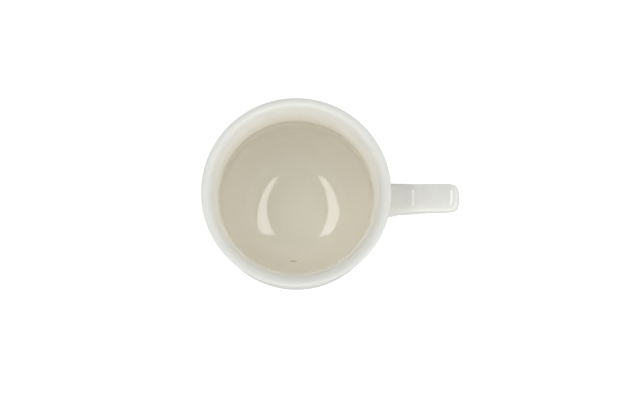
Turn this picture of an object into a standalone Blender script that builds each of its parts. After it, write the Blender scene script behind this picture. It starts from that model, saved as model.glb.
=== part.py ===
"""Glazed earthenware shaving mug: a thrown body on a foot ring, with a cast strap handle luted on.

Metres, +Z up. The table is z = 0, the handle points along +X, and the origin is the centre of the
bounding box on the table. Every piece is turned or swept about the mug's own axis, which an empty holds.
"""

import math

import bmesh
import bpy
from mathutils import Vector

MM = 0.001
GAP = 0.3 * MM  # left between two pieces that touch

# Body, measured at its axis
HEIGHT = 82.0 * MM  # table to the top of the lip
RIM_RADIUS = 44.0 * MM  # outside of the lip
LIP_ROUND = 1.8 * MM  # radius that turns the lip's top over to its outside
NECK_DEPTH = 20.0 * MM  # lip's top down to the narrowest bore
NECK_INSET = 5.5 * MM  # how far the bore draws in from the lip's top to the neck
NECK_WALL = 4.0 * MM
BELLY_SWELL = 2.1 * MM  # how far the bore widens again from the neck to the belly
BELLY_WALL = 4.55 * MM
BOWL_RADIUS = 23.4 * MM  # inside, where the belly turns under
FLOOR_SWEEP_RADIUS = 33.0 * MM  # the shallower sweep between the floor and the bowl
FLOOR_SWEEP_ANGLE = math.radians(27.0)
FLOOR_THICKNESS = 3.5 * MM
FOOT_RECESS = 4.0 * MM  # table to the underside of the floor

# Foot ring
FOOT_RADIUS = 25.6 * MM  # middle of the bare standing face
FOOT_FACE = 2.6 * MM  # width of the standing face
FOOT_WIDTH = 5.0 * MM  # width of the ring where it joins the body
FOOT_EDGE = 0.6 * MM  # rounding of the standing face's two edges
FOOT_SLIP = 0.6 * MM  # thickness of the slip between the ring and the body
FOOT_SLIP_BEAD = 0.9 * MM  # how far that slip stands out on each side

# Handle, an ear-shaped strap
HANDLE_STANDOFF = 35.1 * MM  # lip's outside out to the handle's outermost point
HANDLE_TOP_DEPTH = 24.0 * MM  # lip's top down to the thumb rest at its highest
THUMB_REST = 12.6 * MM  # straight length of the upper arm
THUMB_RISE = math.radians(4.5)  # how far that length still rises outwards
RISE_ANGLE = math.radians(42.0)  # how steeply the upper arm leaves the wall
SHOULDER_RADIUS = 15.2 * MM
CORNER_INSIDE_RADIUS = 0.5 * MM
CORNER_FULLNESS = 0.85 * MM  # how far the corner's outside fills out beyond an even strap
CORNER_TURN = math.radians(100.0)  # from level to where the corner runs into the lower arm
LOWER_ROOT_HEIGHT = 19.4 * MM  # table to the middle of the lower root
UPPER_ROOT_WIDTH = 16.6 * MM
ARM_WIDTH = 13.7 * MM
CORNER_END_WIDTH = 12.5 * MM  # where the corner has run into the lower arm
LOWER_ARM_WIDTH = 9.8 * MM
LOWER_ROOT_WIDTH = 13.0 * MM
ARM_THICKNESS = 5.8 * MM
ROOT_THICKNESS = 7.6 * MM
SECTION_POWER = 2.5  # 2 is an ellipse, more is squarer
LOWER_FLARE = 12.0 * MM  # the last stretch of the lower arm, where it widens to its root
ROOT_EMBED = 2.5 * MM  # how far the sweep runs into the wall before it is cut back
SLIP_LENGTH = 4.5 * MM  # how far the handle's slip runs out along it
SLIP_RISE = 1.9 * MM  # how far it stands out at the wall
SLIP_EDGE = 0.5 * MM  # and at its thin end

# How finely the round shapes are divided
TURN_STEPS = 64
SECTION_POINTS = 24

# Worked out from the sizes above
LIP_CENTRE = (RIM_RADIUS - LIP_ROUND, HEIGHT - LIP_ROUND)
NECK_HEIGHT = HEIGHT - NECK_DEPTH
NECK_BORE = LIP_CENTRE[0] - NECK_INSET
NECK_OUTSIDE = NECK_BORE + NECK_WALL
BELLY_BORE = NECK_BORE + BELLY_SWELL
BELLY_OUTSIDE = BELLY_BORE + BELLY_WALL
FLOOR_HEIGHT = FOOT_RECESS + FLOOR_THICKNESS
SWEEP_RISE = FLOOR_SWEEP_RADIUS * (1 - math.cos(FLOOR_SWEEP_ANGLE))
BELLY_HEIGHT = FLOOR_HEIGHT + SWEEP_RISE + BOWL_RADIUS * math.cos(FLOOR_SWEEP_ANGLE)
BOWL_CENTRE = BELLY_BORE - BOWL_RADIUS
SWEEP_CENTRE = (
    BOWL_CENTRE - (FLOOR_SWEEP_RADIUS - BOWL_RADIUS) * math.sin(FLOOR_SWEEP_ANGLE)
)
AXIS_X = -HANDLE_STANDOFF / 2

GLAZE = (0.76, 0.75, 0.67)
BARE_CLAY = (0.72, 0.66, 0.55)


def clear_scene():
    for obj in list(bpy.data.objects):
        bpy.data.objects.remove(obj)


def make_collection(name, parent):
    collection = bpy.data.collections.new(name)
    parent.children.link(collection)
    return collection


def make_material(name, colour, roughness):
    material = bpy.data.materials.new(name)
    material.use_nodes = True
    shader = material.node_tree.nodes["Principled BSDF"]
    shader.inputs["Base Color"].default_value = (*colour, 1.0)
    shader.inputs["Roughness"].default_value = roughness
    shader.inputs["Metallic"].default_value = 0.0
    return material


def add_object(name, mesh, collection, material=None):
    """Links a mesh as an object that hangs from the mug's axis."""
    obj = bpy.data.objects.new(name, mesh)
    collection.objects.link(obj)
    obj.parent = bpy.data.objects["mug_axis"]
    if material:
        mesh.materials.append(material)
    return obj


def arc(centre, radius_r, radius_z, start, end, steps):
    """Points of a circle or ellipse in the turning plane; angles from +r towards +z."""
    points = []
    for i in range(steps + 1):
        angle = start + (end - start) * i / steps
        points.append((centre[0] + radius_r * math.cos(angle), centre[1] + radius_z * math.sin(angle)))
    return points


def drawn_in(share):
    """How far the wall has drawn in, at a share of the way from the belly up to the neck."""
    return (1 - math.cos(math.pi * share * share)) / 2


def ogee(low, high, steps):
    """The double curve from the belly to the neck, upright at both, bending most under the neck."""
    points = []
    for i in range(steps + 1):
        share = i / steps
        radius = low[0] + (high[0] - low[0]) * drawn_in(share)
        points.append((radius, low[1] + (high[1] - low[1]) * share))
    return points


def bore_profile():
    """The inside, from the middle of the floor up to the lip."""
    down = -math.pi / 2
    points = [(0.0, FLOOR_HEIGHT)]
    points += arc(
        (SWEEP_CENTRE, FLOOR_HEIGHT + FLOOR_SWEEP_RADIUS),
        FLOOR_SWEEP_RADIUS,
        FLOOR_SWEEP_RADIUS,
        down,
        down + FLOOR_SWEEP_ANGLE,
        4,
    )
    bowl = (BOWL_CENTRE, BELLY_HEIGHT)
    points += arc(bowl, BOWL_RADIUS, BOWL_RADIUS, down + FLOOR_SWEEP_ANGLE, 0, 7)[1:]
    points += ogee((BELLY_BORE, BELLY_HEIGHT), (NECK_BORE, NECK_HEIGHT), 8)[1:]
    points += arc((LIP_CENTRE[0], NECK_HEIGHT), NECK_INSET, NECK_DEPTH, math.pi, math.pi / 2, 9)[1:]
    return points


def outer_profile():
    """The outside, from the top of the lip down to the middle of the underside."""
    flare_height = LIP_CENTRE[1] - NECK_HEIGHT
    lean = 2 * math.atan((RIM_RADIUS - NECK_OUTSIDE) / flare_height)
    flare_radius = flare_height / math.sin(lean) - LIP_ROUND
    flare_centre = (NECK_OUTSIDE + flare_radius, NECK_HEIGHT)
    points = arc(LIP_CENTRE, LIP_ROUND, LIP_ROUND, math.pi / 2, -lean, 6)
    points += arc(flare_centre, flare_radius, flare_radius, math.pi - lean, math.pi, 4)[1:]
    points += ogee((BELLY_OUTSIDE, BELLY_HEIGHT), (NECK_OUTSIDE, NECK_HEIGHT), 8)[-2::-1]
    points += arc(
        (BOWL_CENTRE, BELLY_HEIGHT),
        BOWL_RADIUS + BELLY_WALL,
        BELLY_HEIGHT - FOOT_RECESS,
        0,
        -math.pi / 2,
        9,
    )[1:]
    points.append((0.0, FOOT_RECESS))
    return points


def underside(radius):
    """Height of the body's outside at a radius below its belly."""
    share = max(0.0, (radius - BOWL_CENTRE) / (BOWL_RADIUS + BELLY_WALL))
    return BELLY_HEIGHT - (BELLY_HEIGHT - FOOT_RECESS) * math.sqrt(1 - share * share)


def wall_radius(height):
    """Outside radius of the body at a height between its foot and its neck."""
    if height < BELLY_HEIGHT:
        share = (BELLY_HEIGHT - height) / (BELLY_HEIGHT - FOOT_RECESS)
        return BOWL_CENTRE + (BOWL_RADIUS + BELLY_WALL) * math.sqrt(1 - share * share)
    share = min(1.0, (height - BELLY_HEIGHT) / (NECK_HEIGHT - BELLY_HEIGHT))
    return BELLY_OUTSIDE + (NECK_OUTSIDE - BELLY_OUTSIDE) * drawn_in(share)


def grown(profile, amount):
    """An open outside profile, moved out along its own normals."""
    points = []
    for i, (radius, height) in enumerate(profile):
        before = profile[max(i - 1, 0)]
        after = profile[min(i + 1, len(profile) - 1)]
        run = Vector((after[0] - before[0], after[1] - before[1])).normalized()
        points.append((max(0.0, radius - run.y * amount), height + run.x * amount))
    points[0] = (0.0, points[0][1])
    points[-1] = (0.0, points[-1][1])
    return points


def turned(name, profile, closed, collection, material=None):
    """A profile turned about the axis by a Screw modifier."""
    mesh = bpy.data.meshes.new(name)
    edges = [(i, i + 1) for i in range(len(profile) - 1)]
    if closed:
        edges.append((len(profile) - 1, 0))
    mesh.from_pydata([(radius, 0.0, height) for radius, height in profile], edges, [])
    obj = add_object(name, mesh, collection, material)
    screw = obj.modifiers.new("Turn", "SCREW")
    screw.axis = "Z"
    screw.angle = 2 * math.pi
    screw.steps = TURN_STEPS
    screw.render_steps = TURN_STEPS
    screw.use_merge_vertices = True
    screw.merge_threshold = 0.00001
    screw.use_smooth_shade = True
    return obj


def make_body(collection):
    glaze = make_material("body_glaze", GLAZE, 0.12)
    return turned("mug_body", bore_profile() + outer_profile()[1:], False, collection, glaze)


def rounded_corner(corner, before, after, size):
    """Three points that round a corner of an outline by the given size."""
    corner = Vector(corner)
    start = corner + (Vector(before) - corner).normalized() * size
    end = corner + (Vector(after) - corner).normalized() * size
    middle = (start + end) / 4 + corner / 2
    return [tuple(start), tuple(middle), tuple(end)]


def make_foot_ring(collection):
    """The ring that the mug stands on; its top follows the underside, a slip's thickness away."""
    top = []
    drop = FOOT_SLIP + 2 * GAP
    for i in range(4):
        radius = FOOT_RADIUS - FOOT_WIDTH / 2 + FOOT_WIDTH * i / 3
        top.append((radius, underside(radius) - drop))
    bottom_out = (FOOT_RADIUS + FOOT_FACE / 2 + FOOT_EDGE, 0.0)
    bottom_in = (FOOT_RADIUS - FOOT_FACE / 2 - FOOT_EDGE, 0.0)
    profile = top
    profile += rounded_corner(bottom_out, top[-1], bottom_in, FOOT_EDGE)
    profile += rounded_corner(bottom_in, bottom_out, top[0], FOOT_EDGE)
    clay = make_material("bare_clay", BARE_CLAY, 0.7)
    return turned("foot_ring", profile, True, collection, clay)


def make_foot_slip(collection):
    """The bead of slip that sticks the foot ring to the underside."""
    half = FOOT_WIDTH / 2 + FOOT_SLIP_BEAD
    radii = [FOOT_RADIUS - half + 2 * half * i / 4 for i in range(5)]
    top = [(radius, underside(radius) - GAP) for radius in radii]
    bottom = [(radius, underside(radius) - GAP - FOOT_SLIP) for radius in reversed(radii)]
    glaze = make_material("foot_slip_glaze", GLAZE, 0.14)
    return turned("foot_slip", top + bottom, True, collection, glaze)


def heading_vector(heading):
    return Vector((math.cos(heading), math.sin(heading)))


def normal_vector(heading):
    """Points to the outer side of the handle where it runs along the heading."""
    return Vector((-math.sin(heading), math.cos(heading)))


def handle_runs():
    """The handle's centre line in the x-z plane, as runs of (start, heading, length, turn)."""
    corner_radius = CORNER_INSIDE_RADIUS + ARM_THICKNESS / 2
    corner_middle = Vector((RIM_RADIUS + HANDLE_STANDOFF, HEIGHT - HANDLE_TOP_DEPTH))
    corner_middle -= (corner_radius + ARM_THICKNESS / 2) * Vector((1, 1))
    corner = corner_middle + corner_radius * normal_vector(THUMB_RISE)
    corner_end = corner_middle + corner_radius * normal_vector(-CORNER_TURN)
    shoulder = corner - heading_vector(THUMB_RISE) * THUMB_REST
    bend = normal_vector(RISE_ANGLE) - normal_vector(THUMB_RISE)
    rise_end = shoulder + SHOULDER_RADIUS * bend
    inside = wall_radius(rise_end.y - SHOULDER_RADIUS * math.sin(RISE_ANGLE)) - ROOT_EMBED
    rise = (rise_end.x - inside) / math.cos(RISE_ANGLE)
    root = Vector((wall_radius(LOWER_ROOT_HEIGHT), LOWER_ROOT_HEIGHT))
    chord = root - corner_end
    half_turn = -CORNER_TURN - math.atan2(chord.y, chord.x)
    sweep = 2 * half_turn
    sweep_length = chord.length / (2 * math.sin(half_turn)) * sweep
    return [
        (rise_end - heading_vector(RISE_ANGLE) * rise, RISE_ANGLE, rise, 0.0),
        (rise_end, RISE_ANGLE, SHOULDER_RADIUS * (RISE_ANGLE - THUMB_RISE), THUMB_RISE - RISE_ANGLE),
        (shoulder, THUMB_RISE, THUMB_REST, 0.0),
        (corner, THUMB_RISE, corner_radius * (THUMB_RISE + CORNER_TURN), -THUMB_RISE - CORNER_TURN),
        (corner_end, -CORNER_TURN, sweep_length, -sweep),
        (root, -CORNER_TURN - sweep, ROOT_EMBED, 0.0),
    ]


RUNS = handle_runs()
RUN_ENDS = [sum(run[2] for run in RUNS[: i + 1]) for i in range(len(RUNS))]
UPPER_WALL_AT = ROOT_EMBED / math.cos(RISE_ANGLE)  # distance along the handle where it leaves the wall
LOWER_WALL_AT = RUN_ENDS[4]


def on_centre_line(distance):
    """Point and heading of the handle's centre line at a distance along it."""
    index = 0
    while index < len(RUNS) - 1 and distance > RUN_ENDS[index]:
        index += 1
    start, heading, length, turn = RUNS[index]
    along = distance - (RUN_ENDS[index] - length)
    if turn == 0.0:
        return start + heading_vector(heading) * along, heading
    angle = turn * along / length
    radius = length / turn
    end = heading + angle
    offset = Vector((math.sin(end) - math.sin(heading), math.cos(heading) - math.cos(end)))
    return start + radius * offset, end


def eased(distance, stops):
    """Reads a size from (distance, size) stops, easing from each to the next."""
    if distance <= stops[0][0]:
        return stops[0][1]
    for (start, low), (end, high) in zip(stops, stops[1:]):
        if distance <= end:
            share = (distance - start) / (end - start)
            return low + (high - low) * share * share * (3 - 2 * share)
    return stops[-1][1]


def handle_width(distance):
    middle = (RUN_ENDS[3] + RUN_ENDS[4]) / 2
    return eased(
        distance,
        [
            (UPPER_WALL_AT, UPPER_ROOT_WIDTH),
            (RUN_ENDS[1], ARM_WIDTH),
            (RUN_ENDS[2], ARM_WIDTH),
            (RUN_ENDS[3], CORNER_END_WIDTH),
            (middle, LOWER_ARM_WIDTH),
            (LOWER_WALL_AT - LOWER_FLARE, LOWER_ARM_WIDTH),
            (LOWER_WALL_AT, LOWER_ROOT_WIDTH),
        ],
    )


def handle_thickness(distance):
    return eased(
        distance,
        [
            (UPPER_WALL_AT, ROOT_THICKNESS),
            (RUN_ENDS[0], ARM_THICKNESS),
            (RUN_ENDS[3], ARM_THICKNESS),
            (LOWER_WALL_AT - LOWER_FLARE, ARM_THICKNESS),
            (LOWER_WALL_AT, ROOT_THICKNESS),
        ],
    )


def corner_fullness(heading):
    """How far the outside of the corner fills out, from where the thumb rest ends to upright."""
    share = (THUMB_RISE - heading) / (THUMB_RISE + math.pi / 2)
    if share < 0 or share > 1:
        return 0.0
    return CORNER_FULLNESS * math.sin(math.pi * share) ** 2


def handle_ring(distance, grow):
    """The strap's section at a distance along it, grown all round."""
    centre, heading = on_centre_line(distance)
    normal = normal_vector(heading)
    outward = Vector((normal.x, 0.0, normal.y))
    half_width = handle_width(distance) / 2 + grow
    inner_half = handle_thickness(distance) / 2 + grow
    outer_half = inner_half + corner_fullness(heading)
    ring = []
    for i in range(SECTION_POINTS):
        angle = 2 * math.pi * i / SECTION_POINTS
        side = math.copysign(abs(math.cos(angle)) ** (2 / SECTION_POWER), math.cos(angle))
        rise = math.copysign(abs(math.sin(angle)) ** (2 / SECTION_POWER), math.sin(angle))
        depth = rise * (outer_half if rise > 0 else inner_half)
        ring.append(Vector((centre.x, side * half_width, centre.y)) + outward * depth)
    return ring


def handle_stations():
    """Distances along the handle at which its section is set, close together where it bends."""
    counts = [4, 5, 2, 10, 12, 1]
    stations = [0.0]
    for run, end, count in zip(RUNS, RUN_ENDS, counts):
        length = run[2]
        stations += [end - length + length * (i + 1) / count for i in range(count)]
    return stations


def lofted(name, rings, collection, material=None):
    """A closed solid through a row of rings that have the same number of points."""
    mesh = bpy.data.meshes.new(name)
    bm = bmesh.new()
    loops = [[bm.verts.new(point) for point in ring] for ring in rings]
    for near, far in zip(loops, loops[1:]):
        for i in range(SECTION_POINTS):
            j = (i + 1) % SECTION_POINTS
            bm.faces.new((near[i], near[j], far[j], far[i]))
    bm.faces.new(loops[0])
    bm.faces.new(loops[-1])
    bmesh.ops.recalc_face_normals(bm, faces=bm.faces)
    bm.to_mesh(mesh)
    bm.free()
    mesh.shade_smooth()
    return add_object(name, mesh, collection, material)


def cut(obj, cutter):
    boolean = obj.modifiers.new("Cut " + cutter.name, "BOOLEAN")
    boolean.operation = "DIFFERENCE"
    boolean.solver = "EXACT"
    boolean.object = cutter


def hide_cutter(obj):
    obj.hide_render = True
    obj.display_type = "WIRE"
    return obj


def make_body_clearance(cutters):
    """The body's outside without its bore, a gap larger, which trims whatever meets the wall."""
    return hide_cutter(turned("body_clearance", grown(outer_profile(), GAP), False, cutters))


def make_handle_clearance(cutters):
    """The handle, a gap larger, which opens the slip round its roots."""
    rings = [handle_ring(distance, GAP) for distance in handle_stations()]
    return hide_cutter(lofted("handle_clearance", rings, cutters))


def make_handle(collection, body_clearance):
    rings = [handle_ring(distance, 0.0) for distance in handle_stations()]
    glaze = make_material("handle_glaze", GLAZE, 0.12)
    handle = lofted("handle", rings, collection, glaze)
    cut(handle, body_clearance)
    return handle


def make_handle_slip(name, wall_at, direction, collection, body_clearance, handle_clearance):
    """The fillet of slip round one root: thick at the wall, thin where it runs out along the handle."""
    rings = []
    steps = 6
    for i in range(-2, steps + 1):
        share = max(0.0, i / steps)
        rise = SLIP_EDGE + (SLIP_RISE - SLIP_EDGE) * (1 - share) ** 2
        rings.append(handle_ring(wall_at + direction * SLIP_LENGTH * i / steps, GAP + rise))
    glaze = make_material(name + "_glaze", GLAZE, 0.14)
    slip = lofted(name, rings, collection, glaze)
    cut(slip, handle_clearance)
    cut(slip, body_clearance)
    return slip


def build():
    clear_scene()
    scene_root = bpy.context.scene.collection
    mug = make_collection("shaving_mug", scene_root)
    cutters = make_collection("cutters", scene_root)
    axis = bpy.data.objects.new("mug_axis", None)
    axis.location.x = AXIS_X
    scene_root.objects.link(axis)
    body_clearance = make_body_clearance(cutters)
    handle_clearance = make_handle_clearance(cutters)
    make_body(mug)
    make_foot_ring(mug)
    make_foot_slip(mug)
    make_handle(mug, body_clearance)
    make_handle_slip("upper_handle_slip", UPPER_WALL_AT, 1, mug, body_clearance, handle_clearance)
    make_handle_slip("lower_handle_slip", LOWER_WALL_AT, -1, mug, body_clearance, handle_clearance)
    bpy.context.view_layer.update()


build()
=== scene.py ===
import math

import bmesh
import bpy
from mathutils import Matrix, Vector


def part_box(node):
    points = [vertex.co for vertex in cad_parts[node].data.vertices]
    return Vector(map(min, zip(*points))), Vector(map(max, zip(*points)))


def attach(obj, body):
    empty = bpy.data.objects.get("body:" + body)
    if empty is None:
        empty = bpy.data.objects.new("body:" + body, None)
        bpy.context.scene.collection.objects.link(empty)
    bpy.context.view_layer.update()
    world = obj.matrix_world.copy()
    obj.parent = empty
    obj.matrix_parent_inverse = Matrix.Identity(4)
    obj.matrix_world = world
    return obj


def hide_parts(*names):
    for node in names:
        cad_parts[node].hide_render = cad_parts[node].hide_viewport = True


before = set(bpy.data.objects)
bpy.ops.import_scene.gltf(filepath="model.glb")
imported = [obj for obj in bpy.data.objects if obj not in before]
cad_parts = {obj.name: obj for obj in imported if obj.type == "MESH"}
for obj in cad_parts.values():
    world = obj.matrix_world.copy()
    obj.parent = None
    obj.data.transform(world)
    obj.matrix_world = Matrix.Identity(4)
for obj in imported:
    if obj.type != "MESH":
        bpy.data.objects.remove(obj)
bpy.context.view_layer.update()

# ---------------------------------------------------------------------------------------------
# Camera: almost overhead, leaning a little towards the near side, some half a metre from the lip.
mm = 0.001
body_low, body_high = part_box("mug_body")
mug_axis = (body_low.x + body_high.x) / 2
lip_top = body_high.z
lip_centre = Vector((mug_axis, 0.0, lip_top))

camera_distance = 550 * mm
camera_elevation = math.radians(83)
camera_back = Vector((0.0, -math.cos(camera_elevation), math.sin(camera_elevation)))

camera_data = bpy.data.cameras.new("camera")
camera_data.sensor_width = 36.0
camera_data.lens = 67.1
camera_data.shift_x = 0.0372
camera_data.shift_y = -0.0192
camera_data.clip_start = 0.01
camera = bpy.data.objects.new("camera", camera_data)
camera.location = lip_centre + camera_back * camera_distance
camera.rotation_euler = (math.pi / 2 - camera_elevation, 0.0, 0.0)
bpy.context.scene.collection.objects.link(camera)
bpy.context.scene.camera = camera
bpy.context.scene.view_settings.view_transform = "Standard"

# ---------------------------------------------------------------------------------------------
# Body: one wall of pale earthenware, turned in a mould. The lip rolls over from a trumpet-shaped
# bore, the neck draws in, and the belly swells down to a bowl-shaped floor. Glossy ivory glaze.
rim_radius = (body_high.x - body_low.x) / 2
underside_height = body_low.z
lip_round = 1.8 * mm
neck_depth = 20.0 * mm
neck_inset = 5.5 * mm
neck_wall = 4.0 * mm
belly_swell = 2.1 * mm
belly_wall = 4.55 * mm
bowl_radius = 23.4 * mm
floor_sweep_radius = 33.0 * mm
floor_sweep_angle = math.radians(27)
floor_thickness = 3.5 * mm
turn_steps = 256

lip_middle = (rim_radius - lip_round, lip_top - lip_round)
neck_height = lip_top - neck_depth
neck_bore = lip_middle[0] - neck_inset
neck_outside = neck_bore + neck_wall
belly_bore = neck_bore + belly_swell
belly_outside = belly_bore + belly_wall
floor_height = underside_height + floor_thickness
sweep_rise = floor_sweep_radius * (1 - math.cos(floor_sweep_angle))
belly_height = floor_height + sweep_rise + bowl_radius * math.cos(floor_sweep_angle)
bowl_middle = belly_bore - bowl_radius
sweep_middle = bowl_middle - (floor_sweep_radius - bowl_radius) * math.sin(floor_sweep_angle)


def arc(middle, out, up, start, end, steps):
    """Points of a circle or an ellipse in the turning plane."""
    points = []
    for i in range(steps + 1):
        angle = start + (end - start) * i / steps
        points.append((middle[0] + out * math.cos(angle), middle[1] + up * math.sin(angle)))
    return points


def drawn_in(share):
    """How far the wall has drawn in, at a share of the way from the belly up to the neck."""
    return (1 - math.cos(math.pi * share * share)) / 2


def swell(belly, neck, steps):
    """The double curve between the belly and the neck, upright at both."""
    points = []
    for i in range(steps + 1):
        share = i / steps
        height = belly_height + (neck_height - belly_height) * share
        points.append((belly + (neck - belly) * drawn_in(share), height))
    return points


def outer_flare(steps):
    """Over the lip's round and down the outside to the neck."""
    rise = lip_middle[1] - neck_height
    lean = 2 * math.atan((rim_radius - neck_outside) / rise)
    radius = rise / math.sin(lean) - lip_round
    points = arc(lip_middle, lip_round, lip_round, math.pi / 2, -lean, steps)
    middle = (neck_outside + radius, neck_height)
    return points + arc(middle, radius, radius, math.pi - lean, math.pi, steps)[1:]


def body_profile():
    """From the middle of the floor, up the bore, over the lip and down the outside."""
    down = -math.pi / 2
    turn = down + floor_sweep_angle
    points = [(0.0, floor_height)]
    points += [(sweep_middle * share / 4, floor_height) for share in range(1, 4)]
    sweep_up = floor_height + floor_sweep_radius
    points += arc((sweep_middle, sweep_up), floor_sweep_radius, floor_sweep_radius, down, turn, 12)
    points += arc((bowl_middle, belly_height), bowl_radius, bowl_radius, turn, 0, 22)[1:]
    points += swell(belly_bore, neck_bore, 20)[1:]
    points += arc((lip_middle[0], neck_height), neck_inset, neck_depth, math.pi, math.pi / 2, 36)[1:]
    points += outer_flare(14)[1:]
    points += swell(belly_outside, neck_outside, 20)[-2::-1]
    outer_bowl = (bowl_radius + belly_wall, belly_height - underside_height)
    points += arc((bowl_middle, belly_height), *outer_bowl, 0, down, 28)[1:]
    points += [(bowl_middle * (1 - i / 8), underside_height) for i in range(1, 9)]
    return points


def finished(name, bm):
    """Turns a bmesh into a piece that rides on the mug, shaded smooth except over sharp edges."""
    bmesh.ops.recalc_face_normals(bm, faces=bm.faces)
    for face in bm.faces:
        face.smooth = True
    for edge in bm.edges:
        edge.smooth = edge.calc_face_angle(0.0) < math.radians(40)
    mesh = bpy.data.meshes.new(name)
    bm.to_mesh(mesh)
    bm.free()
    piece = bpy.data.objects.new(name, mesh)
    bpy.context.scene.collection.objects.link(piece)
    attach(piece, "root")
    return piece


def turned(name, profile, closed):
    """Spins a profile once round the mug's axis."""
    bm = bmesh.new()
    points = [bm.verts.new((mug_axis + radius, 0.0, height)) for radius, height in profile]
    lines = [bm.edges.new(pair) for pair in zip(points, points[1:])]
    if closed:
        lines.append(bm.edges.new((points[-1], points[0])))
    bmesh.ops.spin(
        bm,
        geom=points + lines,
        cent=(mug_axis, 0.0, 0.0),
        axis=(0.0, 0.0, 1.0),
        angle=2 * math.pi,
        steps=turn_steps,
        use_merge=True,
    )
    bmesh.ops.remove_doubles(bm, verts=bm.verts, dist=0.001 * mm)
    return finished(name, bm)


body = turned("glazed_body", body_profile(), False)
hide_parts("mug_body")


def add_node(tree, kind, place, **values):
    """A shader node with some of its settings and input values filled in."""
    node = tree.nodes.new(kind)
    node.location = place
    for key, value in values.items():
        if key in node.inputs:
            node.inputs[key].default_value = value
        else:
            setattr(node, key, value)
    return node


def make_glaze_coat():
    """Ivory glaze: cloudy, greyer, duller and partly painted shade where it runs thinner, warmer and
    paler as painted light where it lies thick, rippled.
    """
    coat = bpy.data.node_groups.new("glaze_coat", "ShaderNodeTree")
    number = "NodeSocketFloat"
    for label, start in (("Thin and painted shade", 0.0), ("Pooled and painted light", 0.0), ("Gloss roughness", 0.08)):
        socket = coat.interface.new_socket(name=label, in_out="INPUT", socket_type=number)
        socket.default_value = start
    coat.interface.new_socket(name="Color", in_out="OUTPUT", socket_type="NodeSocketColor")
    coat.interface.new_socket(name="Roughness", in_out="OUTPUT", socket_type=number)
    coat.interface.new_socket(name="Ripple", in_out="OUTPUT", socket_type=number)
    given = add_node(coat, "NodeGroupInput", (-900, 0))
    result = add_node(coat, "NodeGroupOutput", (900, 0))
    place = add_node(coat, "ShaderNodeTexCoord", (-900, -300))
    cloud = add_node(coat, "ShaderNodeTexNoise", (-650, 250), Scale=26.0, Detail=3.0, Roughness=0.5)
    mottle = add_node(coat, "ShaderNodeTexNoise", (-650, 0), Scale=210.0, Detail=2.0, Roughness=0.55)
    ripple = add_node(coat, "ShaderNodeTexNoise", (-650, -250), Scale=75.0, Detail=1.0, Roughness=0.4)
    peel = add_node(coat, "ShaderNodeTexNoise", (-650, -500), Scale=700.0, Detail=1.0, Roughness=0.5)
    for noise in (cloud, mottle, ripple, peel):
        coat.links.new(place.outputs["Object"], noise.inputs["Vector"])

    tone = add_node(coat, "ShaderNodeMix", (-350, 250), data_type="RGBA")
    tone.inputs["A"].default_value = (0.805, 0.803, 0.752, 1.0)
    tone.inputs["B"].default_value = (0.830, 0.829, 0.780, 1.0)
    coat.links.new(cloud.outputs["Fac"], tone.inputs["Factor"])
    fleck = add_node(coat, "ShaderNodeMapRange", (-350, 0))
    fleck.inputs["From Min"].default_value = 0.35
    fleck.inputs["From Max"].default_value = 0.65
    fleck.inputs["To Min"].default_value = 0.985
    fleck.inputs["To Max"].default_value = 1.01
    coat.links.new(mottle.outputs["Fac"], fleck.inputs["Value"])
    mottled = add_node(coat, "ShaderNodeVectorMath", (-100, 200), operation="SCALE")
    coat.links.new(tone.outputs["Result"], mottled.inputs["Vector"])
    coat.links.new(fleck.outputs["Result"], mottled.inputs["Scale"])
    # Pooled glaze: warmer, and paler than the rest of the glaze as painted light.
    pooled_and_painted_light = add_node(coat, "ShaderNodeMix", (150, 200), data_type="RGBA")
    pooled_and_painted_light.inputs["B"].default_value = (0.965, 0.930, 0.830, 1.0)
    coat.links.new(given.outputs["Pooled and painted light"], pooled_and_painted_light.inputs["Factor"])
    coat.links.new(mottled.outputs["Vector"], pooled_and_painted_light.inputs["A"])
    # Glaze running thinner: greyer, and darker as painted shade.
    thin_and_painted_shade = add_node(coat, "ShaderNodeMix", (400, 200), data_type="RGBA")
    thin_and_painted_shade.inputs["B"].default_value = (0.728, 0.733, 0.692, 1.0)
    coat.links.new(given.outputs["Thin and painted shade"], thin_and_painted_shade.inputs["Factor"])
    coat.links.new(pooled_and_painted_light.outputs["Result"], thin_and_painted_shade.inputs["A"])
    coat.links.new(thin_and_painted_shade.outputs["Result"], result.inputs["Color"])

    dulling = add_node(coat, "ShaderNodeMath", (-100, -50), operation="MULTIPLY_ADD")
    dulling.inputs[1].default_value = 0.04
    coat.links.new(mottle.outputs["Fac"], dulling.inputs[0])
    coat.links.new(given.outputs["Gloss roughness"], dulling.inputs[2])
    drier = add_node(coat, "ShaderNodeMath", (150, -50), operation="MULTIPLY_ADD")
    drier.inputs[1].default_value = 0.3
    coat.links.new(given.outputs["Thin and painted shade"], drier.inputs[0])
    coat.links.new(dulling.outputs[0], drier.inputs[2])
    coat.links.new(drier.outputs[0], result.inputs["Roughness"])
    fine = add_node(coat, "ShaderNodeMath", (-350, -400), operation="MULTIPLY")
    fine.inputs[1].default_value = 0.06
    coat.links.new(peel.outputs["Fac"], fine.inputs[0])
    both = add_node(coat, "ShaderNodeMath", (-100, -300), operation="ADD")
    coat.links.new(ripple.outputs["Fac"], both.inputs[0])
    coat.links.new(fine.outputs[0], both.inputs[1])
    coat.links.new(both.outputs[0], result.inputs["Ripple"])
    return coat


glaze_coat = make_glaze_coat()


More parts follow.
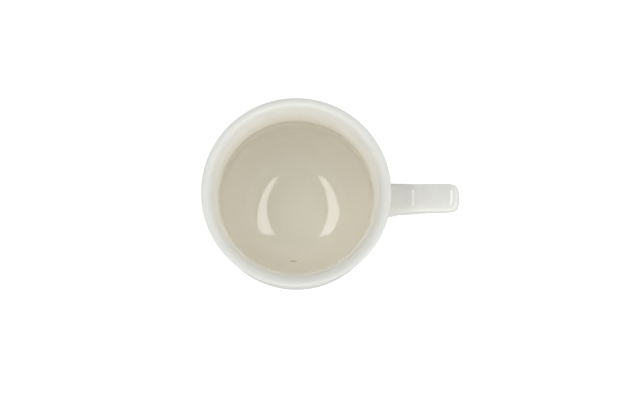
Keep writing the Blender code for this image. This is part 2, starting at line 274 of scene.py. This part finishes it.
def glazed_material(name):
    """A material with the glaze coat wired to its shader; returns it with its coat."""
    material = bpy.data.materials.new(name)
    material.use_nodes = True
    tree = material.node_tree
    shader = tree.nodes["Principled BSDF"]
    shader.location = (500, 0)
    shader.inputs["IOR"].default_value = 1.6
    shader.inputs["Specular IOR Level"].default_value = 0.75
    coat = add_node(tree, "ShaderNodeGroup", (0, 0), node_tree=glaze_coat)
    bump = add_node(tree, "ShaderNodeBump", (250, -250), Strength=0.35, Distance=0.06 * mm)
    tree.links.new(coat.outputs["Color"], shader.inputs["Base Color"])
    tree.links.new(coat.outputs["Roughness"], shader.inputs["Roughness"])
    tree.links.new(coat.outputs["Ripple"], bump.inputs["Height"])
    tree.links.new(bump.outputs["Normal"], shader.inputs["Normal"])
    return material, coat


def make_height_mask():
    """A mask that eases from 0 at the start height to 1 at the full height, upwards or downwards."""
    group = bpy.data.node_groups.new("height_mask", "ShaderNodeTree")
    number = "NodeSocketFloat"
    group.interface.new_socket(name="Start height", in_out="INPUT", socket_type=number)
    group.interface.new_socket(name="Full height", in_out="INPUT", socket_type=number)
    group.interface.new_socket(name="Mask", in_out="OUTPUT", socket_type=number)
    given = add_node(group, "NodeGroupInput", (-500, -200))
    result = add_node(group, "NodeGroupOutput", (250, 0))
    where = add_node(group, "ShaderNodeTexCoord", (-500, 0))
    axes = add_node(group, "ShaderNodeSeparateXYZ", (-250, 0))
    easing = add_node(group, "ShaderNodeMapRange", (0, 0), interpolation_type="SMOOTHSTEP")
    group.links.new(where.outputs["Object"], axes.inputs["Vector"])
    group.links.new(axes.outputs["Z"], easing.inputs["Value"])
    group.links.new(given.outputs["Start height"], easing.inputs["From Min"])
    group.links.new(given.outputs["Full height"], easing.inputs["From Max"])
    group.links.new(easing.outputs["Result"], result.inputs["Mask"])
    return group


height_mask = make_height_mask()


def mask_by_height(material, start, full, socket):
    """Drives one input of a coat with the height mask."""
    tree = material.node_tree
    mask = add_node(tree, "ShaderNodeGroup", (-250, 0), node_tree=height_mask)
    mask.inputs["Start height"].default_value = start
    mask.inputs["Full height"].default_value = full
    tree.links.new(mask.outputs["Mask"], socket)


outside_material, outside_coat = glazed_material("outside_glaze")
# Painted shade, partly glaze running thinner: the outside greys and darkens from the neck up to the
# lip's top.
mask_by_height(outside_material, neck_height, lip_top, outside_coat.inputs["Thin and painted shade"])
body.data.materials.append(outside_material)

# Inside, the glaze lies thick from the neck down, warmer and painted paler there as painted light;
# towards the lip the bore is greyer and darker, partly glaze running thinner and partly painted shade.
bore_material, bore_coat = glazed_material("bore_glaze")
pooled_light_from = lip_top - 3 * mm
pooled_light_by = neck_height + 1 * mm
thin_shade_from = lip_top - 7 * mm
mask_by_height(bore_material, pooled_light_from, pooled_light_by, bore_coat.inputs["Pooled and painted light"])
mask_by_height(bore_material, thin_shade_from, lip_top, bore_coat.inputs["Thin and painted shade"])
bore_coat.inputs["Gloss roughness"].default_value = 0.055
body.data.materials.append(bore_material)

# A pin mark, where something touched the glaze low on the near side as it was fired.
pin_place = Vector((mug_axis - 1.6 * mm, -27.8 * mm, 12.2 * mm))
bore_tree = bore_material.node_tree
bore_shader = bore_tree.nodes["Principled BSDF"]
in_bowl = add_node(bore_tree, "ShaderNodeTexCoord", (-1300, -600))
pin_offset = add_node(bore_tree, "ShaderNodeVectorMath", (-1100, -600), operation="SUBTRACT")
pin_offset.inputs[1].default_value = pin_place
bore_tree.links.new(in_bowl.outputs["Object"], pin_offset.inputs[0])
pin_stretch = add_node(bore_tree, "ShaderNodeVectorMath", (-900, -600), operation="MULTIPLY")
pin_stretch.inputs[1].default_value = (0.38, 1.7, 1.0)
bore_tree.links.new(pin_offset.outputs["Vector"], pin_stretch.inputs[0])
pin_length = add_node(bore_tree, "ShaderNodeVectorMath", (-700, -600), operation="LENGTH")
bore_tree.links.new(pin_stretch.outputs["Vector"], pin_length.inputs[0])
pin_mark = add_node(bore_tree, "ShaderNodeMapRange", (-500, -600), interpolation_type="SMOOTHSTEP")
pin_mark.inputs["From Min"].default_value = 1.1 * mm
pin_mark.inputs["From Max"].default_value = 0.3 * mm
bore_tree.links.new(pin_length.outputs["Value"], pin_mark.inputs["Value"])
pin_share = add_node(bore_tree, "ShaderNodeMath", (-300, -600), operation="MULTIPLY")
pin_share.inputs[1].default_value = 0.6
bore_tree.links.new(pin_mark.outputs["Result"], pin_share.inputs[0])
pin_colour = add_node(bore_tree, "ShaderNodeMix", (250, 250), data_type="RGBA")
pin_colour.inputs["B"].default_value = (0.42, 0.37, 0.29, 1.0)
bore_tree.links.new(pin_share.outputs[0], pin_colour.inputs["Factor"])
bore_tree.links.new(bore_coat.outputs["Color"], pin_colour.inputs["A"])
bore_tree.links.new(pin_colour.outputs["Result"], bore_shader.inputs["Base Color"])
pin_dent = add_node(bore_tree, "ShaderNodeBump", (250, -550), invert=True)
pin_dent.inputs["Strength"].default_value = 0.8
pin_dent.inputs["Distance"].default_value = 0.25 * mm
bore_tree.links.new(pin_mark.outputs["Result"], pin_dent.inputs["Height"])
bore_tree.links.new(bore_tree.nodes["Bump"].outputs["Normal"], pin_dent.inputs["Normal"])

# A faint raised ring, left by the tool that shaped the bowl.
turning_radius = 25.3 * mm
ring_offset = add_node(bore_tree, "ShaderNodeVectorMath", (-1100, -900), operation="MULTIPLY")
ring_offset.inputs[1].default_value = (1.0, 1.0, 0.0)
bore_tree.links.new(in_bowl.outputs["Object"], ring_offset.inputs[0])
ring_radius = add_node(bore_tree, "ShaderNodeVectorMath", (-900, -900), operation="DISTANCE")
ring_radius.inputs[1].default_value = (mug_axis, 0.0, 0.0)
bore_tree.links.new(ring_offset.outputs["Vector"], ring_radius.inputs[0])
ring_away = add_node(bore_tree, "ShaderNodeMath", (-700, -900), operation="SUBTRACT")
ring_away.inputs[1].default_value = turning_radius
bore_tree.links.new(ring_radius.outputs["Value"], ring_away.inputs[0])
ring_near = add_node(bore_tree, "ShaderNodeMath", (-500, -900), operation="ABSOLUTE")
bore_tree.links.new(ring_away.outputs[0], ring_near.inputs[0])
ring_mark = add_node(bore_tree, "ShaderNodeMapRange", (-300, -900), interpolation_type="SMOOTHSTEP")
ring_mark.inputs["From Min"].default_value = 1.3 * mm
ring_mark.inputs["From Max"].default_value = 0.1 * mm
bore_tree.links.new(ring_near.outputs[0], ring_mark.inputs["Value"])
ring_ridge = add_node(bore_tree, "ShaderNodeBump", (250, -800))
ring_ridge.inputs["Strength"].default_value = 1.0
ring_ridge.inputs["Distance"].default_value = 0.03 * mm
bore_tree.links.new(ring_mark.outputs["Result"], ring_ridge.inputs["Height"])
bore_tree.links.new(pin_dent.outputs["Normal"], ring_ridge.inputs["Normal"])
bore_tree.links.new(ring_ridge.outputs["Normal"], bore_shader.inputs["Normal"])

for face in body.data.polygons:
    middle = Vector((face.center.x - mug_axis, face.center.y, 0.0))
    in_bore = face.center.z > floor_height - 0.1 * mm and middle.dot(face.normal) <= 0
    face.material_index = 1 if in_bore and middle.length < lip_middle[0] else 0

# ---------------------------------------------------------------------------------------------
# Handle: an ear-shaped strap, cast on its own. It rises from the belly, runs out nearly level as a
# thumb rest, turns a full corner and sweeps back under, narrowing, to its lower root.
handle_low, handle_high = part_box("handle")
handle_end = handle_high.x - mug_axis
thumb_height = lip_top - 24.0 * mm
thumb_rest = 12.6 * mm
thumb_rise = math.radians(4.5)
rise_angle = math.radians(42)
shoulder_radius = 15.2 * mm
corner_inside = 0.5 * mm
corner_fullness = 0.85 * mm
corner_turn = math.radians(100)
lower_root_height = 19.4 * mm
upper_root_width = 16.6 * mm
arm_width = 13.7 * mm
corner_end_width = 12.5 * mm
lower_arm_width = 9.8 * mm
lower_root_width = 13.0 * mm
arm_thickness = 5.8 * mm
root_thickness = 7.6 * mm
section_power = 2.5
lower_flare = 12.0 * mm
root_depth = 2.5 * mm
root_hidden = 1.6 * mm
strap_points = 64


def wall_radius(height):
    """Outside radius of the body between its foot and its neck."""
    if height < belly_height:
        share = (belly_height - height) / (belly_height - underside_height)
        return bowl_middle + (bowl_radius + belly_wall) * math.sqrt(max(0.0, 1 - share * share))
    share = min(1.0, (height - belly_height) / (neck_height - belly_height))
    return belly_outside + (neck_outside - belly_outside) * drawn_in(share)


def along(heading):
    return Vector((math.cos(heading), math.sin(heading)))


def outward(heading):
    return Vector((-math.sin(heading), math.cos(heading)))


def handle_runs():
    """The centre line out from the mug's axis, as runs of (start, heading, length, turn)."""
    corner_radius = corner_inside + arm_thickness / 2
    middle = Vector((handle_end, thumb_height)) - (corner_radius + arm_thickness / 2) * Vector((1, 1))
    corner = middle + corner_radius * outward(thumb_rise)
    corner_end = middle + corner_radius * outward(-corner_turn)
    shoulder = corner - thumb_rest * along(thumb_rise)
    rise_end = shoulder + shoulder_radius * (outward(rise_angle) - outward(thumb_rise))
    inside = wall_radius(rise_end.y - shoulder_radius * math.sin(rise_angle)) - root_depth
    rise = (rise_end.x - inside) / math.cos(rise_angle)
    root = Vector((wall_radius(lower_root_height), lower_root_height))
    chord = root - corner_end
    half_turn = -corner_turn - math.atan2(chord.y, chord.x)
    sweep = chord.length / (2 * math.sin(half_turn)) * 2 * half_turn
    bend = rise_angle - thumb_rise
    turn = thumb_rise + corner_turn
    return [
        (rise_end - rise * along(rise_angle), rise_angle, rise, 0.0),
        (rise_end, rise_angle, shoulder_radius * bend, -bend),
        (shoulder, thumb_rise, thumb_rest, 0.0),
        (corner, thumb_rise, corner_radius * turn, -turn),
        (corner_end, -corner_turn, sweep, -2 * half_turn),
        (root, -corner_turn - 2 * half_turn, root_depth, 0.0),
    ]


runs = handle_runs()
run_ends = [sum(run[2] for run in runs[: i + 1]) for i in range(len(runs))]
upper_wall_at = root_depth / math.cos(rise_angle)
lower_wall_at = run_ends[4]
width_stops = [
    (upper_wall_at, upper_root_width),
    (run_ends[1], arm_width),
    (run_ends[2], arm_width),
    (run_ends[3], corner_end_width),
    ((run_ends[3] + run_ends[4]) / 2, lower_arm_width),
    (lower_wall_at - lower_flare, lower_arm_width),
    (lower_wall_at, lower_root_width),
]
thickness_stops = [
    (upper_wall_at, root_thickness),
    (run_ends[0], arm_thickness),
    (lower_wall_at - lower_flare, arm_thickness),
    (lower_wall_at, root_thickness),
]


def centre_line(distance):
    """Point and heading at a distance along the handle; the straight ends run on past 0 and the end."""
    index = 0
    while index < len(runs) - 1 and distance > run_ends[index]:
        index += 1
    start, heading, length, turn = runs[index]
    travelled = distance - (run_ends[index] - length)
    if turn == 0.0:
        return start + along(heading) * travelled, heading
    radius = length / turn
    end = heading + turn * travelled / length
    return start + radius * (outward(heading) - outward(end)), end


def eased(distance, stops):
    """Reads a size off (distance, size) stops, easing from each to the next."""
    if distance <= stops[0][0]:
        return stops[0][1]
    for (start, low), (end, high) in zip(stops, stops[1:]):
        if distance <= end:
            share = (distance - start) / (end - start)
            return low + (high - low) * share * share * (3 - 2 * share)
    return stops[-1][1]


def on_strap(distance, angle):
    """A point of the strap's surface; the angle goes round its section from +Y over the outer side."""
    centre, heading = centre_line(distance)
    side = math.copysign(abs(math.cos(angle)) ** (2 / section_power), math.cos(angle))
    depth = math.copysign(abs(math.sin(angle)) ** (2 / section_power), math.sin(angle))
    half = eased(distance, thickness_stops) / 2
    bend = (thumb_rise - heading) / (thumb_rise + math.pi / 2)
    if depth > 0 and 0 < bend < 1:
        half += corner_fullness * math.sin(math.pi * bend) ** 2
    place = centre + outward(heading) * depth * half
    return Vector((mug_axis + place.x, side * eased(distance, width_stops) / 2, place.y))


def where_it_meets_the_wall(angle, inside, outside):
    """Distance along the handle at which a line of its surface goes through the wall."""
    for _ in range(40):
        middle = (inside + outside) / 2
        point = on_strap(middle, angle)
        if math.hypot(point.x - mug_axis, point.y) < wall_radius(point.z):
            inside = middle
        else:
            outside = middle
    return inside


section_angles = [2 * math.pi * (i + 0.5) / strap_points for i in range(strap_points)]
upper_meets = [where_it_meets_the_wall(a, -10 * mm, run_ends[0]) for a in section_angles]
lower_ends = (run_ends[5] + 8 * mm, lower_wall_at - 10 * mm)
lower_meets = [where_it_meets_the_wall(a, *lower_ends) for a in section_angles]


def strap_stations(upper_meet, lower_meet):
    """Distances along one line of the strap's surface, from inside the wall to inside the wall."""
    stops = [upper_meet - root_hidden, *run_ends[:4]]
    stops += [lower_wall_at - lower_flare, lower_meet + root_hidden]
    stations = [stops[0]]
    for start, end, count in zip(stops, stops[1:], (14, 14, 8, 36, 40, 16)):
        stations += [start + (end - start) * (i + 1) / count for i in range(count)]
    return stations


def swept(rings, closed):
    """Extrudes a ring of points through a row of rings; an open row is capped, a closed one joined."""
    bm = bmesh.new()
    ring = bmesh.ops.create_circle(bm, cap_ends=False, segments=len(rings[0]), radius=1.0)["verts"]
    edges = list(bm.edges)
    for vert, point in zip(ring, rings[0]):
        vert.co = point
    first_edges = list(edges)
    for points in rings[1:] + (rings[:1] if closed else []):
        made = bmesh.ops.extrude_edge_only(bm, edges=edges)["geom"]
        fresh = {item for item in made if isinstance(item, bmesh.types.BMVert)}
        ring = [next(e.other_vert(v) for e in v.link_edges if e.other_vert(v) in fresh) for v in ring]
        edges = [e for e in made if isinstance(e, bmesh.types.BMEdge) and fresh.issuperset(e.verts)]
        for vert, point in zip(ring, points):
            vert.co = point
    if closed:
        bmesh.ops.remove_doubles(bm, verts=bm.verts, dist=0.001 * mm)
    else:
        bmesh.ops.edgeloop_fill(bm, edges=first_edges)
        bmesh.ops.edgeloop_fill(bm, edges=edges)
    return bm


lines = [
    [on_strap(distance, angle) for distance in strap_stations(upper, lower)]
    for angle, upper, lower in zip(section_angles, upper_meets, lower_meets)
]
handle = finished("glazed_handle", swept([list(ring) for ring in zip(*lines)], False))
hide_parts("handle")

handle_material, handle_coat = glazed_material("handle_glaze")
handle_tree = handle_material.node_tree
place = add_node(handle_tree, "ShaderNodeTexCoord", (-900, 200))
axes = add_node(handle_tree, "ShaderNodeSeparateXYZ", (-700, 200))
handle_tree.links.new(place.outputs["Object"], axes.inputs["Vector"])
from_middle = add_node(handle_tree, "ShaderNodeMath", (-500, 200), operation="ABSOLUTE")
handle_tree.links.new(axes.outputs["Y"], from_middle.inputs[0])
# The strap's rounded edges are greyer and darker, partly glaze running thinner and partly painted shade.
edge_thin_shade = add_node(handle_tree, "ShaderNodeMapRange", (-300, 200), interpolation_type="SMOOTHSTEP")
edge_thin_shade.inputs["From Min"].default_value = 5.4 * mm
edge_thin_shade.inputs["From Max"].default_value = 7.0 * mm
edge_thin_shade.inputs["To Max"].default_value = 0.6
handle_tree.links.new(from_middle.outputs[0], edge_thin_shade.inputs["Value"])
handle_tree.links.new(edge_thin_shade.outputs["Result"], handle_coat.inputs["Thin and painted shade"])
# Towards its root the strap takes the pooled glaze: warmer, and paler as painted light.
root_pool_light = add_node(handle_tree, "ShaderNodeMapRange", (-300, -100), interpolation_type="SMOOTHSTEP")
root_pool_light.inputs["From Min"].default_value = mug_axis + 52 * mm
root_pool_light.inputs["From Max"].default_value = mug_axis + 43 * mm
root_pool_light.inputs["To Max"].default_value = 0.3
handle_tree.links.new(axes.outputs["X"], root_pool_light.inputs["Value"])
handle_tree.links.new(root_pool_light.outputs["Result"], handle_coat.inputs["Pooled and painted light"])
handle_coat.inputs["Gloss roughness"].default_value = 0.03
handle.data.materials.append(handle_material)

# ---------------------------------------------------------------------------------------------
# Upper root's slip: the hollow fillet of slip that was wiped round the joint between the handle
# and the belly; the glaze pools in it, warmer and painted paler as painted light.
slip_along = 3.6 * mm
slip_out = 2.3 * mm
slip_depth = 0.4 * mm
slip_pull = 0.62
slip_steps = 9


def strap_normal(distance, angle):
    """Points out of the strap's surface."""
    step = 0.05 * mm
    length = on_strap(distance + step, angle) - on_strap(distance - step, angle)
    girth = on_strap(distance, angle + 0.01) - on_strap(distance, angle - 0.01)
    return length.cross(girth).normalized()


def wall_normal(point):
    """Points out of the body's wall."""
    step = 0.05 * mm
    slope = (wall_radius(point.z + step) - wall_radius(point.z - step)) / (2 * step)
    round_axis = Vector((point.x - mug_axis, point.y, 0.0)).normalized()
    return (round_axis - Vector((0.0, 0.0, slope))).normalized()


def slip_section(angle, meet, direction):
    """A closed section of the fillet: a hollow curve in the open, and its back inside the clay."""
    corner = on_strap(meet, angle)
    strap_out = strap_normal(meet, angle)
    wall_out = wall_normal(corner)
    on_handle = on_strap(meet + direction * slip_along, angle)
    away = (strap_out - wall_out * strap_out.dot(wall_out)).normalized()
    on_wall = corner + away * slip_out
    reach = wall_radius(on_wall.z) / math.hypot(on_wall.x - mug_axis, on_wall.y)
    on_wall.x = mug_axis + (on_wall.x - mug_axis) * reach
    on_wall.y *= reach
    pulls = (on_handle.lerp(corner, slip_pull), on_wall.lerp(corner, slip_pull))
    section = []
    for i in range(slip_steps + 1):
        share = i / slip_steps
        rest = 1 - share
        point = on_handle * rest**3 + pulls[0] * 3 * rest**2 * share
        section.append(point + pulls[1] * 3 * rest * share**2 + on_wall * share**3)
    section.append(on_wall - wall_normal(on_wall) * slip_depth)
    section.append(corner - (wall_out + strap_out) * slip_depth)
    section.append(on_handle - strap_normal(meet + direction * slip_along, angle) * slip_depth)
    return section


upper_sections = [slip_section(a, meet, 1) for a, meet in zip(section_angles, upper_meets)]
upper_slip = finished("upper_root_fillet", swept(upper_sections, True))
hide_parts("upper_handle_slip")

upper_slip_material, upper_slip_coat = glazed_material("upper_slip_glaze")
# Pooled glaze in the fillet: warmer, and paler as painted light.
upper_slip_coat.inputs["Pooled and painted light"].default_value = 0.25
upper_slip.data.materials.append(upper_slip_material)

# ---------------------------------------------------------------------------------------------
# Lower root's slip: the same fillet round the joint low on the belly.
lower_sections = [slip_section(a, meet, -1) for a, meet in zip(section_angles, lower_meets)]
lower_slip = finished("lower_root_fillet", swept(lower_sections, True))
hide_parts("lower_handle_slip")

lower_slip_material, lower_slip_coat = glazed_material("lower_slip_glaze")
# Pooled glaze in the fillet: warmer, and paler as painted light.
lower_slip_coat.inputs["Pooled and painted light"].default_value = 0.3
lower_slip.data.materials.append(lower_slip_material)

# ---------------------------------------------------------------------------------------------
# Foot ring: a turned ring stuck to the underside. Its sides are glazed, and its standing face is
# wiped clean, so the mug stands on bare clay.
foot_radius = 25.6 * mm
foot_face = 2.6 * mm
foot_width = 5.0 * mm
foot_edge = 0.6 * mm
foot_slip_depth = 0.6 * mm


def underside(radius):
    """Height of the body's outside under its belly."""
    share = max(0.0, (radius - bowl_middle) / (bowl_radius + belly_wall))
    return belly_height - (belly_height - underside_height) * math.sqrt(1 - share * share)


def foot_profile():
    """The ring's section: its top follows the underside, its standing face is flat."""
    inner = foot_radius - foot_width / 2
    points = []
    for i in range(9):
        radius = inner + foot_width * i / 8
        points.append((radius, underside(radius) - foot_slip_depth))
    face_out = foot_radius + foot_face / 2
    face_in = foot_radius - foot_face / 2
    points += arc((face_out, foot_edge), foot_edge, foot_edge, 0, -math.pi / 2, 6)
    points += arc((face_in, foot_edge), foot_edge, foot_edge, -math.pi / 2, -math.pi, 6)
    return points


foot_ring = turned("wiped_foot_ring", foot_profile(), True)
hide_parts("foot_ring")

foot_material, foot_coat = glazed_material("foot_glaze_and_clay")
foot_tree = foot_material.node_tree
foot_shader = foot_tree.nodes["Principled BSDF"]
foot_place = add_node(foot_tree, "ShaderNodeTexCoord", (-1300, -400))
grit = add_node(foot_tree, "ShaderNodeTexNoise", (-1050, -300), Scale=1500.0, Detail=3.0, Roughness=0.6)
wander = add_node(foot_tree, "ShaderNodeTexNoise", (-1050, -600), Scale=160.0, Detail=2.0, Roughness=0.5)
stain = add_node(foot_tree, "ShaderNodeTexNoise", (-1050, -900), Scale=320.0, Detail=3.0, Roughness=0.6)
for noise in (grit, wander, stain):
    foot_tree.links.new(foot_place.outputs["Object"], noise.inputs["Vector"])
heights = add_node(foot_tree, "ShaderNodeSeparateXYZ", (-1050, -1150))
foot_tree.links.new(foot_place.outputs["Object"], heights.inputs["Vector"])
wiped_edge = add_node(foot_tree, "ShaderNodeMath", (-800, -800), operation="MULTIPLY_ADD")
wiped_edge.inputs[1].default_value = 0.9 * mm
foot_tree.links.new(wander.outputs["Fac"], wiped_edge.inputs[0])
foot_tree.links.new(heights.outputs["Z"], wiped_edge.inputs[2])
bare = add_node(foot_tree, "ShaderNodeMapRange", (-600, -800), interpolation_type="SMOOTHSTEP")
bare.inputs["From Min"].default_value = 1.25 * mm
bare.inputs["From Max"].default_value = 1.05 * mm
foot_tree.links.new(wiped_edge.outputs[0], bare.inputs["Value"])
clay = add_node(foot_tree, "ShaderNodeMix", (-800, -400), data_type="RGBA")
clay.inputs["A"].default_value = (0.66, 0.58, 0.45, 1.0)
clay.inputs["B"].default_value = (0.80, 0.74, 0.62, 1.0)
foot_tree.links.new(grit.outputs["Fac"], clay.inputs["Factor"])
worn = add_node(foot_tree, "ShaderNodeMapRange", (-800, -1000))
worn.inputs["From Min"].default_value = 0.5
worn.inputs["From Max"].default_value = 0.72
worn.inputs["To Max"].default_value = 0.55
foot_tree.links.new(stain.outputs["Fac"], worn.inputs["Value"])
stained = add_node(foot_tree, "ShaderNodeMix", (-400, -500), data_type="RGBA")
stained.inputs["B"].default_value = (0.46, 0.41, 0.34, 1.0)
foot_tree.links.new(worn.outputs["Result"], stained.inputs["Factor"])
foot_tree.links.new(clay.outputs["Result"], stained.inputs["A"])
surface = add_node(foot_tree, "ShaderNodeMix", (250, 150), data_type="RGBA")
foot_tree.links.new(bare.outputs["Result"], surface.inputs["Factor"])
foot_tree.links.new(foot_coat.outputs["Color"], surface.inputs["A"])
foot_tree.links.new(stained.outputs["Result"], surface.inputs["B"])
foot_tree.links.new(surface.outputs["Result"], foot_shader.inputs["Base Color"])
matt = add_node(foot_tree, "ShaderNodeMix", (250, 400), data_type="FLOAT")
matt.inputs["B"].default_value = 0.85
foot_tree.links.new(bare.outputs["Result"], matt.inputs["Factor"])
foot_tree.links.new(foot_coat.outputs["Roughness"], matt.inputs["A"])
foot_tree.links.new(matt.outputs["Result"], foot_shader.inputs["Roughness"])
gritty = add_node(foot_tree, "ShaderNodeMix", (-100, -350), data_type="FLOAT")
foot_tree.links.new(bare.outputs["Result"], gritty.inputs["Factor"])
foot_tree.links.new(foot_coat.outputs["Ripple"], gritty.inputs["A"])
foot_tree.links.new(grit.outputs["Fac"], gritty.inputs["B"])
foot_bump = add_node(foot_tree, "ShaderNodeBump", (250, -450), Strength=0.6, Distance=0.08 * mm)
foot_tree.links.new(gritty.outputs["Result"], foot_bump.inputs["Height"])
foot_tree.links.new(foot_bump.outputs["Normal"], foot_shader.inputs["Normal"])
foot_ring.data.materials.append(foot_material)

# ---------------------------------------------------------------------------------------------
# Foot slip: the bead of slip between the ring and the underside, a hollow fillet on either side.
bead_out = 0.9 * mm
bead_down = 0.75 * mm


def ring_side(height, side):
    """Radius of the ring's inner (-1) or outer (+1) side at a height."""
    top_radius = foot_radius + side * foot_width / 2
    top = underside(top_radius) - foot_slip_depth
    low_radius = foot_radius + side * (foot_face / 2 + foot_edge)
    return low_radius + (top_radius - low_radius) * (height - foot_edge) / (top - foot_edge)


def bead_profile():
    """Along the underside from one fillet to the other, then back through the ring."""
    outer_low = underside(foot_radius + foot_width / 2) - foot_slip_depth - bead_down
    inner_low = underside(foot_radius - foot_width / 2) - foot_slip_depth - bead_down
    outer_end = foot_radius + foot_width / 2 + bead_out
    inner_end = foot_radius - foot_width / 2 - bead_out
    points = []
    for end, low, side in ((outer_end, outer_low, 1), (inner_end, inner_low, -1)):
        start = Vector((end, underside(end)))
        finish = Vector((ring_side(low, side), low))
        corner = Vector((ring_side(start.y, side), start.y))
        curve = [start.lerp(corner, i / 8).lerp(corner.lerp(finish, i / 8), i / 8) for i in range(9)]
        points += [tuple(point) for point in (curve if side > 0 else reversed(curve))]
    for i in range(1, 8):
        radius = inner_end + (outer_end - inner_end) * i / 8
        points.append((radius, underside(radius) + 0.3 * mm))
    return points


foot_slip = turned("foot_joint_bead", bead_profile(), True)
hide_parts("foot_slip")

foot_slip_material, foot_slip_coat = glazed_material("foot_slip_glaze")
# Pooled glaze in the bead: warmer, and paler as painted light.
foot_slip_coat.inputs["Pooled and painted light"].default_value = 0.3
foot_slip.data.materials.append(foot_slip_material)

# ---------------------------------------------------------------------------------------------
# Floor and light: a white table inside a white tent that is bright low down and dim overhead, with
# two softboxes above, left and right of the mug.
table_half = 3.0
softbox_height = 600 * mm
bm = bmesh.new()
bmesh.ops.create_grid(bm, x_segments=2, y_segments=2, size=table_half)
table_mesh = bpy.data.meshes.new("table")
bm.to_mesh(table_mesh)
bm.free()
table = bpy.data.objects.new("table", table_mesh)
bpy.context.scene.collection.objects.link(table)
table_material = bpy.data.materials.new("table_white")
table_material.use_nodes = True
table_tree = table_material.node_tree
table_shader = table_tree.nodes["Principled BSDF"]
table_shader.inputs["Base Color"].default_value = (0.5, 0.5, 0.5, 1.0)
table_shader.inputs["Roughness"].default_value = 0.9
table_shader.inputs["Specular IOR Level"].default_value = 0.1
table_shader.inputs["Emission Color"].default_value = (1.0, 1.0, 1.0, 1.0)
table_seen = add_node(table_tree, "ShaderNodeLightPath", (-700, 0))
table_glow = add_node(table_tree, "ShaderNodeMath", (-400, 0), operation="MULTIPLY_ADD")
table_glow.inputs[1].default_value = 0.5
table_glow.inputs[2].default_value = 0.15
table_tree.links.new(table_seen.outputs["Is Camera Ray"], table_glow.inputs[0])
table_tree.links.new(table_glow.outputs[0], table_shader.inputs["Emission Strength"])
table_mesh.materials.append(table_material)


def softbox(name, corners, radiance):
    """A level light over the mug; its corners go near-left, near-right, far-left, far-right."""
    bm = bmesh.new()
    bmesh.ops.create_grid(bm, x_segments=1, y_segments=1, size=1.0)
    for vert in bm.verts:
        x, y = corners[(vert.co.x > 0) + 2 * (vert.co.y > 0)]
        vert.co = (mug_axis + x * mm, y * mm, lip_top + softbox_height)
    mesh = bpy.data.meshes.new(name)
    bm.to_mesh(mesh)
    bm.free()
    light = bpy.data.objects.new(name, mesh)
    light.visible_camera = False
    bpy.context.scene.collection.objects.link(light)
    material = bpy.data.materials.new(name)
    material.use_nodes = True
    shader = material.node_tree.nodes["Principled BSDF"]
    shader.inputs["Base Color"].default_value = (0.8, 0.8, 0.8, 1.0)
    shader.inputs["Emission Color"].default_value = (1.0, 1.0, 1.0, 1.0)
    shader.inputs["Emission Strength"].default_value = radiance
    mesh.materials.append(material)


softbox("softbox_right", ((145, -190), (215, -190), (160, 285), (540, 480)), 2.3)
softbox("softbox_left", ((-320, -250), (-215, -250), (-740, 530), (-205, 345)), 2.3)

room = bpy.data.worlds.new("room")
room.use_nodes = True
room_tree = room.node_tree
tent = room_tree.nodes["Background"]
facing = add_node(room_tree, "ShaderNodeNewGeometry", (-900, 0))
upward = add_node(room_tree, "ShaderNodeSeparateXYZ", (-700, 0))
room_tree.links.new(facing.outputs["Incoming"], upward.inputs["Vector"])
height_share = add_node(room_tree, "ShaderNodeMath", (-500, 0), operation="ABSOLUTE")
room_tree.links.new(upward.outputs["Z"], height_share.inputs[0])
shade = add_node(room_tree, "ShaderNodeValToRGB", (-300, 0))
tent_levels = ((0.0, 0.75), (0.25, 0.62), (0.45, 0.42), (0.7, 0.25), (1.0, 0.175))
for index, (at, level) in enumerate(tent_levels):
    stop = shade.color_ramp.elements[index] if index < 2 else shade.color_ramp.elements.new(at)
    stop.position = at
    stop.color = (level, level, level, 1.0)
room_tree.links.new(height_share.outputs[0], shade.inputs["Fac"])
room_tree.links.new(shade.outputs["Color"], tent.inputs["Color"])
sideways = add_node(room_tree, "ShaderNodeMath", (-300, -250), operation="MULTIPLY_ADD")
sideways.inputs[1].default_value = 0.9
sideways.inputs[2].default_value = 2.13
room_tree.links.new(upward.outputs["Y"], sideways.inputs[0])
across = add_node(room_tree, "ShaderNodeMath", (-100, -250), operation="MULTIPLY_ADD")
across.inputs[1].default_value = -0.3
room_tree.links.new(upward.outputs["X"], across.inputs[0])
room_tree.links.new(sideways.outputs[0], across.inputs[2])
room_tree.links.new(across.outputs[0], tent.inputs["Strength"])
seen = add_node(room_tree, "ShaderNodeLightPath", (-300, 300))
white = add_node(room_tree, "ShaderNodeBackground", (0, 200), Color=(1.0, 1.0, 1.0, 1.0), Strength=1.2)
either = add_node(room_tree, "ShaderNodeMixShader", (250, 100))
room_tree.links.new(seen.outputs["Is Camera Ray"], either.inputs["Fac"])
room_tree.links.new(tent.outputs["Background"], either.inputs[1])
room_tree.links.new(white.outputs["Background"], either.inputs[2])
room_tree.links.new(either.outputs["Shader"], room_tree.nodes["World Output"].inputs["Surface"])
bpy.context.scene.world = room
